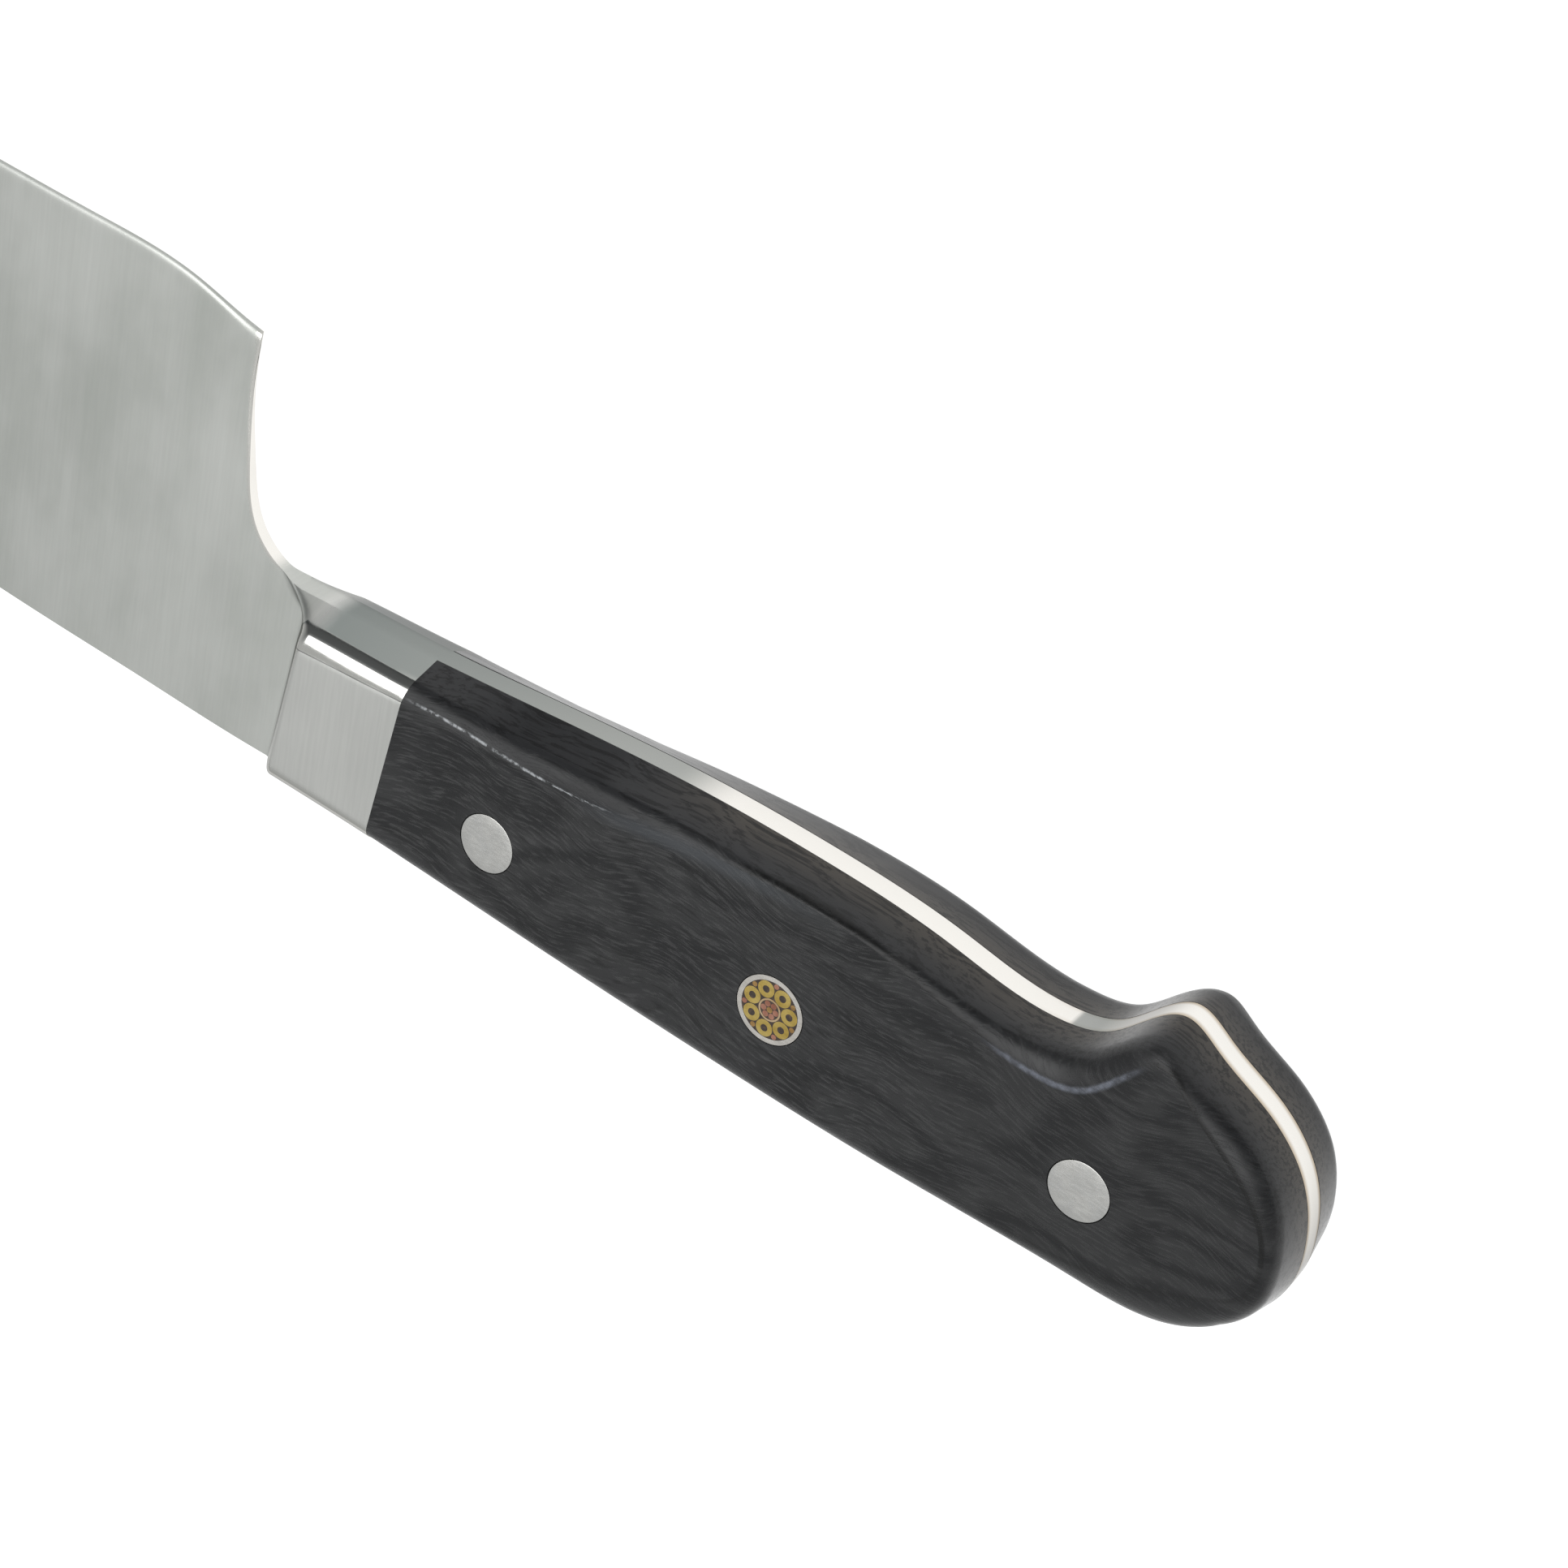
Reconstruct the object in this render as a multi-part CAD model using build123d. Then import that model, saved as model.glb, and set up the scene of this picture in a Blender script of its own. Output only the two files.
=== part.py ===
"""Forged chef knife: one steel forging, two laminated-wood scales, two rivets and a mosaic pin.

Modelled about the mosaic pin's axis: +X runs to the butt, +Y to the cutting edge, and z = 0 is
the mid-plane between the two sides. The handle widens evenly from the bolster to the butt, so its
side faces slope a little. The finished knife lies on its side, so that it rests on the flat face
of one scale, and its origin is at the middle of its bounding box's bottom.
"""
from build123d import *
from math import atan, cos, degrees, pi, radians, sin
import os

# ---------------------------------------------------------------- driving dimensions, mm
HALF_WIDTH = 7.1               # from the mid-plane to a side face, on the mosaic pin's line
WIDTH_SLOPE = 0.014            # how much the half width grows per mm towards the butt
TANG_THICKNESS = 2.8
FILM_THICKNESS = 0.1           # epoxy bedding between the tang and each scale
SHOULDER_HEIGHT = 0.75         # share of the half width at which the section starts to roll over
SHOULDER_SHARE = 0.45          # how far towards the side crease the section has moved by then

RIVET_SPACING = 37.3
RIVET_RADIUS = 3.45
MOSAIC_RADIUS = 4.0
MOSAIC_WALL = 0.55

RING_COUNT = 7                 # brass tubes, and copper rods in the gaps outside them
RING_RADIUS = 2.4
BRASS_TUBE_RADIUS = 1.0
BRASS_TUBE_BORE_RADIUS = 0.42
CENTRE_TUBE_RADIUS = 1.34
CENTRE_TUBE_BORE_RADIUS = 1.14
CORE_RING_COUNT = 6            # rods round the middle rod of the core
CORE_ROD_RADIUS = 0.35
CORE_RING_RADIUS = 0.75
GAP_ROD_RADIUS = 0.3
GAP_ROD_RING_RADIUS = 3.1
MOSAIC_TURN = radians(10)      # how far the ring of tubes is turned from the handle's length

JOINT_X = -52.3                # where the scales butt against the bolster, on the pin's line
BOLSTER_FRONT_X = -65.6        # front of the bolster's flat side face
BOLSTER_FOOT_X = -70.6         # foot of the bolster's front slope, at the tang's thickness
BOLSTER_ROOT_X = -71.6         # foot of the same slope, inside the blade
BOLSTER_ROOT_Z = 0.4
BOLSTER_BROW_SHARE = 0.22      # how far from side face to foot the slope has come at the shoulder
FRONT_LEAN = 0.11              # how far the bolster's ends lean towards the butt, per mm of height
BOLSTER_CORNER_RADIUS = 3.0
CUTTER_SIZE = 400.0            # half-size of the blocks that cut parts apart

# Stations round the handle, from the bolster's belly, round the hook and butt, and back along
# the spine: each is (tang edge x, y, side crease x, y).
STATIONS = [
    (-66.9, 14.1, -63.5, 9.6),
    (-51.4, 14.4, -51.2, 10.4),
    (-36.3, 15.3, -36.0, 10.8),
    (-25.9, 15.9, -25.6, 11.7),
    (-17.5, 16.2, -17.5, 12.8),
    (-1.1, 15.9, -1.0, 14.1),
    (14.3, 14.4, 13.3, 12.7),
    (27.8, 12.7, 28.2, 10.0),
    (32.8, 14.0, 33.8, 10.8),
    (37.0, 18.2, 38.2, 15.3),
    (40.1, 20.3, 41.0, 17.9),
    (44.3, 18.4, 44.2, 16.2),
    (51.0, 14.8, 49.7, 12.2),
    (56.2, 9.8, 54.2, 8.1),
    (58.6, 3.2, 56.3, 3.2),
    (58.6, -2.3, 55.9, -0.6),
    (55.3, -8.2, 52.6, -3.4),
    (49.2, -11.8, 47.1, -6.0),
    (38.0, -12.4, 38.0, -8.3),
    (17.0, -12.6, 17.0, -8.7),
    (-4.0, -12.2, -4.0, -8.6),
    (-33.0, -10.9, -33.0, -7.4),
    (-52.3, -9.8, -52.6, -6.4),
    (-69.6, -9.3, -66.2, -5.8),
]

# Blade stations from inside the bolster to the point: (x, spine y, edge y, spine thickness).
BLADE_STATIONS = [
    (-59.7, -8.9, 36.5, 2.9),
    (-73.6, -9.1, 39.6, 2.75),
    (-81.5, -8.9, 40.8, 2.65),
    (-89.5, -8.5, 42.9, 2.6),
    (-104.4, -7.9, 44.2, 2.5),
    (-129.2, -6.4, 45.1, 2.3),
    (-159.0, -3.9, 44.7, 2.1),
    (-188.8, -0.2, 42.8, 1.9),
    (-218.6, 4.7, 39.1, 1.65),
    (-248.3, 11.2, 33.6, 1.35),
    (-270.2, 17.5, 28.3, 1.05),
    (-283.1, 22.4, 24.4, 0.8),
]
BEVEL_HEIGHT = 1.3
BEVEL_SHOULDER = 0.5           # thickness where the secondary bevel starts
EDGE_LAND = 0.06               # thickness of the cutting edge itself
# The hollow behind the heel, from the cutting edge down to the bolster.
CHOIL = [(-80.0, 41.7), (-80.4, 34.7), (-79.5, 25.2), (-77.0, 17.4), (-73.1, 14.6), (-65.6, 14.0)]


# ---------------------------------------------------------------- outlines
def handle_wire(points, front_x, z, slope=0.0):
    """Closed outline at height z: a leaning straight front and one curve round the handle.

    With a slope, the outline's plane rises by that much per mm towards the butt.
    """
    first, last = points[0], points[-1]
    belly_corner = (front_x + FRONT_LEAN * first[1], first[1])
    spine_corner = (front_x + FRONT_LEAN * last[1], last[1])
    curve = Spline(belly_corner, *points[1:-1], spine_corner)
    face = make_face([curve, Line(spine_corner, belly_corner)])
    corner = face.vertices().sort_by_distance(Vector(*belly_corner, 0))[0]
    rounded = face.face().fillet_2d(BOLSTER_CORNER_RADIUS, [corner])
    tilt = degrees(atan(slope))
    return rounded.outer_wire().moved(Location((0, 0, z), (0, -tilt, 0)))


def tang_points():
    return [(x, y) for x, y, _, _ in STATIONS]


def crease_points():
    return [(x, y) for _, _, x, y in STATIONS]


def shoulder_points():
    share = SHOULDER_SHARE
    return [(x + share * (cx - x), y + share * (cy - y)) for x, y, cx, cy in STATIONS]


# ---------------------------------------------------------------- handle envelope
def handle_envelope():
    """The whole handle, bolster and scales together, symmetric about z = 0."""
    half_tang = TANG_THICKNESS / 2
    shoulder_z = HALF_WIDTH * SHOULDER_HEIGHT
    shoulder_slope = WIDTH_SLOPE * SHOULDER_HEIGHT
    brow_x = BOLSTER_FRONT_X + (BOLSTER_FOOT_X - BOLSTER_FRONT_X) * BOLSTER_BROW_SHARE
    levels = [
        handle_wire(tang_points(), BOLSTER_ROOT_X, BOLSTER_ROOT_Z),
        handle_wire(tang_points(), BOLSTER_FOOT_X, half_tang),
        handle_wire(shoulder_points(), brow_x, shoulder_z, shoulder_slope),
        handle_wire(crease_points(), BOLSTER_FRONT_X, HALF_WIDTH, WIDTH_SLOPE),
    ]
    lower = [wire.mirror(Plane.XY) for wire in reversed(levels)]
    return Solid.make_loft(lower + levels, ruled=True)


def in_front_of_joint():
    """A block that fills everything on the blade's side of the leaning scale joint."""
    edge = [(JOINT_X + FRONT_LEAN * y, y) for y in (-CUTTER_SIZE, CUTTER_SIZE)]
    outline = Polyline(*edge, (-CUTTER_SIZE, CUTTER_SIZE), (-CUTTER_SIZE, -CUTTER_SIZE), close=True)
    return extrude(make_face(outline), CUTTER_SIZE, both=True)


def between_side_faces():
    """The wedge of space between the handle's two side faces."""
    front_z, back_z = (HALF_WIDTH + WIDTH_SLOPE * x for x in (-CUTTER_SIZE, CUTTER_SIZE))
    front = [(-CUTTER_SIZE, -front_z), (-CUTTER_SIZE, front_z)]
    back = [(CUTTER_SIZE, back_z), (CUTTER_SIZE, -back_z)]
    outline = Polyline(*front, *back, close=True)
    return extrude(make_face(Plane.XZ * outline), CUTTER_SIZE, both=True)


def slab(low_z, high_z):
    """A block between two heights, wide enough to cut any part of the knife."""
    size = 2 * CUTTER_SIZE
    centre = (low_z + high_z) / 2
    return Pos(0, 0, centre) * Box(size, size, high_z - low_z)


# ---------------------------------------------------------------- blade
def blade_section(x, spine_y, edge_y, thickness):
    """A flat-ground wedge with a short secondary bevel, square to the knife's length."""
    half_spine, half_shoulder, half_edge = thickness / 2, BEVEL_SHOULDER / 2, EDGE_LAND / 2
    bevel_y = edge_y - BEVEL_HEIGHT
    side = [(spine_y, half_spine), (bevel_y, half_shoulder), (edge_y, half_edge)]
    other_side = [(y, -z) for y, z in reversed(side)]
    corners = [Vector(x, y, z) for y, z in side + other_side]
    return Wire.make_polygon(corners, close=True)


def heel_cut():
    """The space behind the heel: a hollow curve from the cutting edge down to the bolster."""
    curve = Spline(*CHOIL)
    far = [(CUTTER_SIZE, CHOIL[-1][1]), (CUTTER_SIZE, CUTTER_SIZE), (CHOIL[0][0], CUTTER_SIZE)]
    outline = Polyline(CHOIL[-1], *far, CHOIL[0])
    return extrude(make_face([curve, outline]), CUTTER_SIZE, both=True)


def blade():
    sections = [blade_section(*station) for station in BLADE_STATIONS]
    return Solid.make_loft(sections) - heel_cut()


# ---------------------------------------------------------------- pins
def pin(radius, x, y=0.0):
    """A round pin through the whole handle, flush with both side faces."""
    longest = 4 * HALF_WIDTH
    return Pos(x, y, 0) * Cylinder(radius, longest) & between_side_faces()


def ring_places(count, radius, first_angle=0.0):
    angles = [first_angle + 2 * pi * i / count for i in range(count)]
    return [(radius * cos(a), radius * sin(a)) for a in angles]


def mosaic_pin():
    """The parts of the mosaic pin: tubes packed round a core of rods, set in dark resin."""
    bore = MOSAIC_RADIUS - MOSAIC_WALL
    tube_places = ring_places(RING_COUNT, RING_RADIUS, MOSAIC_TURN)
    gap_places = ring_places(RING_COUNT, GAP_ROD_RING_RADIUS, MOSAIC_TURN + pi / RING_COUNT)
    core_places = [(0.0, 0.0)] + ring_places(CORE_RING_COUNT, CORE_RING_RADIUS)
    parts = {
        "mosaic_outer_tube": pin(MOSAIC_RADIUS, 0) - pin(bore, 0),
        "mosaic_centre_tube": pin(CENTRE_TUBE_RADIUS, 0) - pin(CENTRE_TUBE_BORE_RADIUS, 0),
    }
    matrix = pin(bore, 0) - pin(CENTRE_TUBE_RADIUS, 0)
    core_fill = pin(CENTRE_TUBE_BORE_RADIUS, 0)
    bore_fills = []
    for i, (x, y) in enumerate(tube_places, 1):
        bore_fill = pin(BRASS_TUBE_BORE_RADIUS, x, y)
        parts[f"mosaic_brass_tube_{i}"] = pin(BRASS_TUBE_RADIUS, x, y) - bore_fill
        matrix -= pin(BRASS_TUBE_RADIUS, x, y)
        bore_fills.append(bore_fill)
    for i, (x, y) in enumerate(gap_places, 1):
        rod = pin(GAP_ROD_RADIUS, x, y)
        parts[f"mosaic_gap_rod_{i}"] = rod
        matrix -= rod
    for i, (x, y) in enumerate(core_places, 1):
        rod = pin(CORE_ROD_RADIUS, x, y)
        parts[f"mosaic_core_rod_{i}"] = rod
        core_fill -= rod
    parts["mosaic_resin"] = Compound(matrix.solids() + core_fill.solids() + bore_fills)
    return parts


# ---------------------------------------------------------------- assembly
def knife_parts():
    half_tang = TANG_THICKNESS / 2
    bedding_z = half_tang + FILM_THICKNESS
    envelope = handle_envelope()
    front_block = in_front_of_joint()
    bolster = envelope & front_block
    handle = envelope - front_block
    holes = pin(RIVET_RADIUS, -RIVET_SPACING) + pin(MOSAIC_RADIUS, 0) + pin(RIVET_RADIUS, RIVET_SPACING)
    drilled = handle - holes
    tang = drilled & slab(-half_tang, half_tang)
    parts = {
        "blade_forging": blade() + bolster + tang,
        "scale_upper": drilled & slab(bedding_z, CUTTER_SIZE),
        "scale_lower": drilled & slab(-CUTTER_SIZE, -bedding_z),
        "bedding_upper": drilled & slab(half_tang, bedding_z),
        "bedding_lower": drilled & slab(-bedding_z, -half_tang),
        "front_rivet": pin(RIVET_RADIUS, -RIVET_SPACING),
        "rear_rivet": pin(RIVET_RADIUS, RIVET_SPACING),
    }
    parts.update(mosaic_pin())
    return parts


def main():
    lie_on_side = Rot(0, -degrees(atan(WIDTH_SLOPE)), 0)
    parts = {name: lie_on_side * part for name, part in knife_parts().items()}
    solids = [solid for part in parts.values() for solid in part.solids()]
    bounds = Compound(solids).bounding_box()
    centre = bounds.center()
    to_origin = Pos(-centre.X, -centre.Y, -bounds.min.Z)
    os.makedirs("parts", exist_ok=True)
    for name, part in parts.items():
        export_step(to_origin * part, f"parts/{name}.step")
    print("The mosaic pin's middle is at", to_origin * Pos(0, 0, 0))


if __name__ == "__main__":
    main()
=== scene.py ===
"""Looks for the chef knife: its steel, laminated wood and mosaic pin, built round the CAD frame.

Outlines are in millimetres from the middle of the mosaic pin, as the knife's own drawing has
them: x runs to the butt, y to the cutting edge, and z up from the mid-plane between the sides.
"""

import bmesh
import bpy
from math import atan, cos, pi, radians, sin
import numpy as np
from mathutils import Matrix, Vector


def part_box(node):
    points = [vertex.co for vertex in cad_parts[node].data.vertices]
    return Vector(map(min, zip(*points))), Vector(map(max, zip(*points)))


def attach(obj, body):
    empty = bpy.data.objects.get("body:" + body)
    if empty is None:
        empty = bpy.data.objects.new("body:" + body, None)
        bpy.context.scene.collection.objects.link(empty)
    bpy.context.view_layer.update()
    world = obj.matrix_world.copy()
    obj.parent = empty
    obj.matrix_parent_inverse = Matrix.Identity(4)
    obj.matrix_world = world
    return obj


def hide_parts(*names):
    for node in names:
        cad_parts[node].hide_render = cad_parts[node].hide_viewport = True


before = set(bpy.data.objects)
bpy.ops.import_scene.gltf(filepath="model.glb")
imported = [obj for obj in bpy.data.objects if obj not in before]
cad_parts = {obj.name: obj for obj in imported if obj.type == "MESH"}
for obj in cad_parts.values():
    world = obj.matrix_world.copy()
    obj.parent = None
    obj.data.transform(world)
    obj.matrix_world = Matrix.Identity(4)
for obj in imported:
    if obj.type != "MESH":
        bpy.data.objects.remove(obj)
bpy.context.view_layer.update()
MM = 0.001

# ---------------------------------------------------------------- driving sizes, mm
HALF_WIDTH = 7.1        # from the mid-plane to a side face, at the mosaic pin
TAPER = 0.014           # how much the half width grows per mm towards the butt
HALF_TANG = 1.4         # half the tang's thickness
FILM = 0.1              # bedding between the tang and each scale
RIVET_SPACING = 37.3    # from the mosaic pin to either rivet
RIVET_RADIUS = 3.45
RIVET_EASE = 0.06       # rounding of a rivet's rim
MOSAIC_RADIUS = 4.0
PIN_GAP = 0.1           # the dark line round each pin
PIN_SEGMENTS = 128
JOINT_X = -52.3         # where the bolster meets the scales, on the line of the pins
LEAN = 0.11             # the bolster's ends lean towards the butt by this much per mm of y

PIN_LOW, PIN_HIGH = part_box("mosaic_outer_tube")
PIN_MIDDLE = np.array([(PIN_LOW.x + PIN_HIGH.x) / 2, (PIN_LOW.y + PIN_HIGH.y) / 2,
                       PIN_LOW.z + HALF_WIDTH * MM])
TILT = atan(TAPER)      # the knife lies on one side face, so its mid-plane tilts by this much
TURN = np.array([[cos(TILT), 0, -sin(TILT)], [0, 1, 0], [sin(TILT), 0, cos(TILT)]])

# Hollow behind the heel, from just past the cutting edge down to the bolster's belly.
CHOIL = [(-80.0, 41.7), (-80.4, 34.7), (-79.5, 25.2), (-77.0, 17.4), (-73.1, 14.6)]
# Round the handle from the bolster's belly: tang edge x, y; side crease x, y; how far the flat
# facet has drawn in by the side face; and the height of the roll-over above that facet.
HANDLE = [
    (-66.9, 14.1, -63.5, 9.6, 1.9, 1.7),
    (-51.4, 14.4, -51.2, 10.4, 2.0, 1.8),
    (-36.3, 15.3, -36.0, 10.8, 2.8, 1.6),
    (-25.9, 15.9, -25.6, 11.7, 2.7, 1.4),
    (-17.5, 16.2, -17.5, 12.8, 2.2, 1.3),
    (-1.1, 15.9, -1.0, 14.1, 1.3, 1.2),
    (14.3, 14.4, 13.3, 12.7, 0.9, 1.6),
    (27.8, 12.7, 28.2, 10.0, 0.4, 2.4),
    (32.8, 14.0, 33.8, 10.8, 0.3, 3.0),
    (37.0, 18.2, 38.2, 15.3, 0.5, 3.0),
    (40.1, 20.3, 41.0, 17.9, 0.9, 2.6),
    (44.3, 18.4, 44.2, 16.2, 0.5, 2.4),
    (51.0, 14.8, 49.7, 12.2, 0.3, 2.4),
    (56.2, 9.8, 54.2, 8.1, 0.4, 2.2),
    (58.6, 3.2, 56.3, 3.2, 0.6, 2.0),
    (58.6, -2.3, 55.9, -0.6, 1.0, 2.0),
    (55.3, -8.2, 52.6, -3.4, 1.9, 2.0),
    (49.2, -11.8, 47.1, -6.0, 1.6, 2.2),
    (38.0, -12.4, 38.0, -8.3, 1.5, 2.0),
    (17.0, -12.6, 17.0, -8.7, 1.4, 2.0),
    (-4.0, -12.2, -4.0, -8.6, 1.4, 2.0),
    (-33.0, -10.9, -33.0, -7.4, 1.4, 2.0),
    (-52.3, -9.8, -52.6, -6.4, 1.4, 2.0),
    (-69.6, -9.3, -66.2, -5.8, 1.4, 2.0),
]
BUTT_STATION = 14       # the station at the butt's end
# Blade from the bolster to the point: x, spine y, edge y, spine thickness.
BLADE = [
    (-59.7, -8.9, 36.5, 2.9),
    (-73.6, -9.1, 39.6, 2.75),
    (-81.5, -8.9, 40.8, 2.65),
    (-89.5, -8.5, 42.9, 2.6),
    (-104.4, -7.9, 44.2, 2.5),
    (-129.2, -6.4, 45.1, 2.3),
    (-159.0, -3.9, 44.7, 2.1),
    (-188.8, -0.2, 42.8, 1.9),
    (-218.6, 4.7, 39.1, 1.65),
    (-248.3, 11.2, 33.6, 1.35),
    (-270.2, 17.5, 28.3, 1.05),
    (-283.1, 22.4, 24.4, 0.8),
]
BEVEL_HALF = 0.16       # half the thickness where the secondary bevel starts
EDGE_HALF = 0.03        # half the thickness of the cutting edge
BEVEL_HEIGHT = 0.55     # height of the secondary bevel along the blade
HEEL_BEVEL = 0.7        # and how much higher it is at the heel
HEEL_X = -81.0          # ahead of here the bevel gets narrower
HEEL_REACH = 4.0        # how fast that extra height dies away ahead of the heel


# ---------------------------------------------------------------- curves
def cubic(knots, values, at):
    """Natural cubic spline through values at knots, read at the parameters in at."""
    knots, values, at = (np.asarray(item, float) for item in (knots, values, at))
    columns = values.reshape(len(knots), -1)
    n = len(knots)
    h = np.diff(knots)
    system = np.eye(n)
    right = np.zeros_like(columns)
    for i in range(1, n - 1):
        system[i, i - 1:i + 2] = h[i - 1], 2 * (h[i - 1] + h[i]), h[i]
        rise = np.diff(columns[i - 1:i + 2], axis=0) / h[i - 1:i + 1, None]
        right[i] = 6 * (rise[1] - rise[0])
    bend = np.linalg.solve(system, right)
    i = np.clip(np.searchsorted(knots, at) - 1, 0, n - 2)
    a = ((knots[i + 1] - at) / h[i])[:, None]
    b = 1 - a
    out = a * columns[i] + b * columns[i + 1]
    out += ((a ** 3 - a) * bend[i] + (b ** 3 - b) * bend[i + 1]) * (h[i] ** 2)[:, None] / 6
    return out[:, 0] if values.ndim == 1 else out


def chord_lengths(points):
    steps = np.linalg.norm(np.diff(np.asarray(points, float), axis=0), axis=1)
    return np.concatenate([[0.0], np.cumsum(steps)])


def smooth_min(a, b, width):
    """The lower of two heights, with the corner between them rounded over width."""
    share = np.clip(0.5 + 0.5 * (b - a) / width, 0, 1)
    return b * (1 - share) + a * share - width * share * (1 - share)


def smooth_max(a, b, width):
    return -smooth_min(-a, -b, width)


def smoothstep(low, high, value):
    t = np.clip((value - low) / (high - low), 0, 1)
    return t * t * (3 - 2 * t)


def half_width(x):
    return HALF_WIDTH + TAPER * x


# ---------------------------------------------------------------- outline of choil and handle
STATIONS = np.array(HANDLE)
OUTLINE = np.vstack([CHOIL, STATIONS[:, 0:2]])
OUTLINE_KNOTS = chord_lengths(OUTLINE)
HANDLE_KNOTS = OUTLINE_KNOTS[len(CHOIL):]


def outline(at):
    return cubic(OUTLINE_KNOTS, OUTLINE, at)


def crease(at):
    return cubic(HANDLE_KNOTS, STATIONS[:, 2:4], at)


def joint_parameter(low, high):
    """Where the outline crosses the leaning joint between two parameters, by halving."""
    def ahead(at):
        x, y = outline([at])[0]
        return x - (JOINT_X + LEAN * y)
    start = ahead(low) > 0
    for _ in range(50):
        middle = (low + high) / 2
        if (ahead(middle) > 0) == start:
            low = middle
        else:
            high = middle
    return low


BELLY_JOINT = joint_parameter(HANDLE_KNOTS[0], HANDLE_KNOTS[2])
SPINE_JOINT = joint_parameter(HANDLE_KNOTS[-4], HANDLE_KNOTS[-1])


# ---------------------------------------------------------------- meshes
def to_world(points):
    return np.asarray(points, float) @ TURN.T * MM + PIN_MIDDLE


def from_world(points):
    return (np.asarray(points, float) - PIN_MIDDLE) / MM @ TURN


def new_object(name, points, faces, material):
    mesh = bpy.data.meshes.new(name)
    mesh.from_pydata(to_world(points).tolist(), [], faces)
    mesh.materials.append(material)
    piece = bpy.data.objects.new(name, mesh)
    bpy.context.scene.collection.objects.link(piece)
    with_bmesh(piece)
    return piece


def with_bmesh(piece, edit=None):
    """Run an edit on a piece's mesh, if one is given, and turn all its faces outward."""
    bm = bmesh.new()
    bm.from_mesh(piece.data)
    if edit:
        edit(bm)
    bmesh.ops.recalc_face_normals(bm, faces=bm.faces)
    bm.to_mesh(piece.data)
    bm.free()


def shade(piece, sharp_angle):
    mesh = piece.data
    mesh.polygons.foreach_set("use_smooth", [True] * len(mesh.polygons))
    mesh.set_sharp_from_angle(angle=radians(sharp_angle))
    mesh.update()


def own_points(piece):
    """The piece's vertices in the knife's own millimetres."""
    flat = np.empty(3 * len(piece.data.vertices))
    piece.data.vertices.foreach_get("co", flat)
    return from_world(flat.reshape(-1, 3))


def paint(piece, name, values):
    attribute = piece.data.attributes.new(name, "FLOAT", "POINT")
    attribute.data.foreach_set("value", np.asarray(values, dtype=np.float32))


def drill(piece, x, radius):
    """A round hole through the handle, on the line of the pins."""
    bm = bmesh.new()
    turn = Matrix(TURN.tolist()).to_4x4()
    place = Matrix.Translation(Vector(to_world([[x, 0, 0]])[0])) @ turn
    bmesh.ops.create_cone(bm, cap_ends=True, segments=PIN_SEGMENTS, radius1=radius * MM,
                          radius2=radius * MM, depth=4 * HALF_WIDTH * MM, matrix=place)
    mesh = bpy.data.meshes.new("drill")
    bm.to_mesh(mesh)
    bm.free()
    bit = bpy.data.objects.new("drill", mesh)
    bpy.context.scene.collection.objects.link(bit)
    modifier = piece.modifiers.new("hole", "BOOLEAN")
    modifier.operation = "DIFFERENCE"
    modifier.solver = "EXACT"
    modifier.object = bit
    bpy.context.view_layer.update()
    depsgraph = bpy.context.evaluated_depsgraph_get()
    drilled = bpy.data.meshes.new_from_object(piece.evaluated_get(depsgraph))
    piece.modifiers.clear()
    piece.data = drilled
    bpy.data.objects.remove(bit)


def drill_for_pins(piece):
    """Holes for the three pins, wider than the pins by the dark line round each."""
    drill(piece, -RIVET_SPACING, RIVET_RADIUS + PIN_GAP)
    drill(piece, 0, MOSAIC_RADIUS + PIN_GAP)
    drill(piece, RIVET_SPACING, RIVET_RADIUS + PIN_GAP)


# ---------------------------------------------------------------- shader building
MIX_FACTOR, MIX_A, MIX_B, MIX_RESULT = 0, 6, 7, 2    # the mix node's sockets for colours


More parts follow.
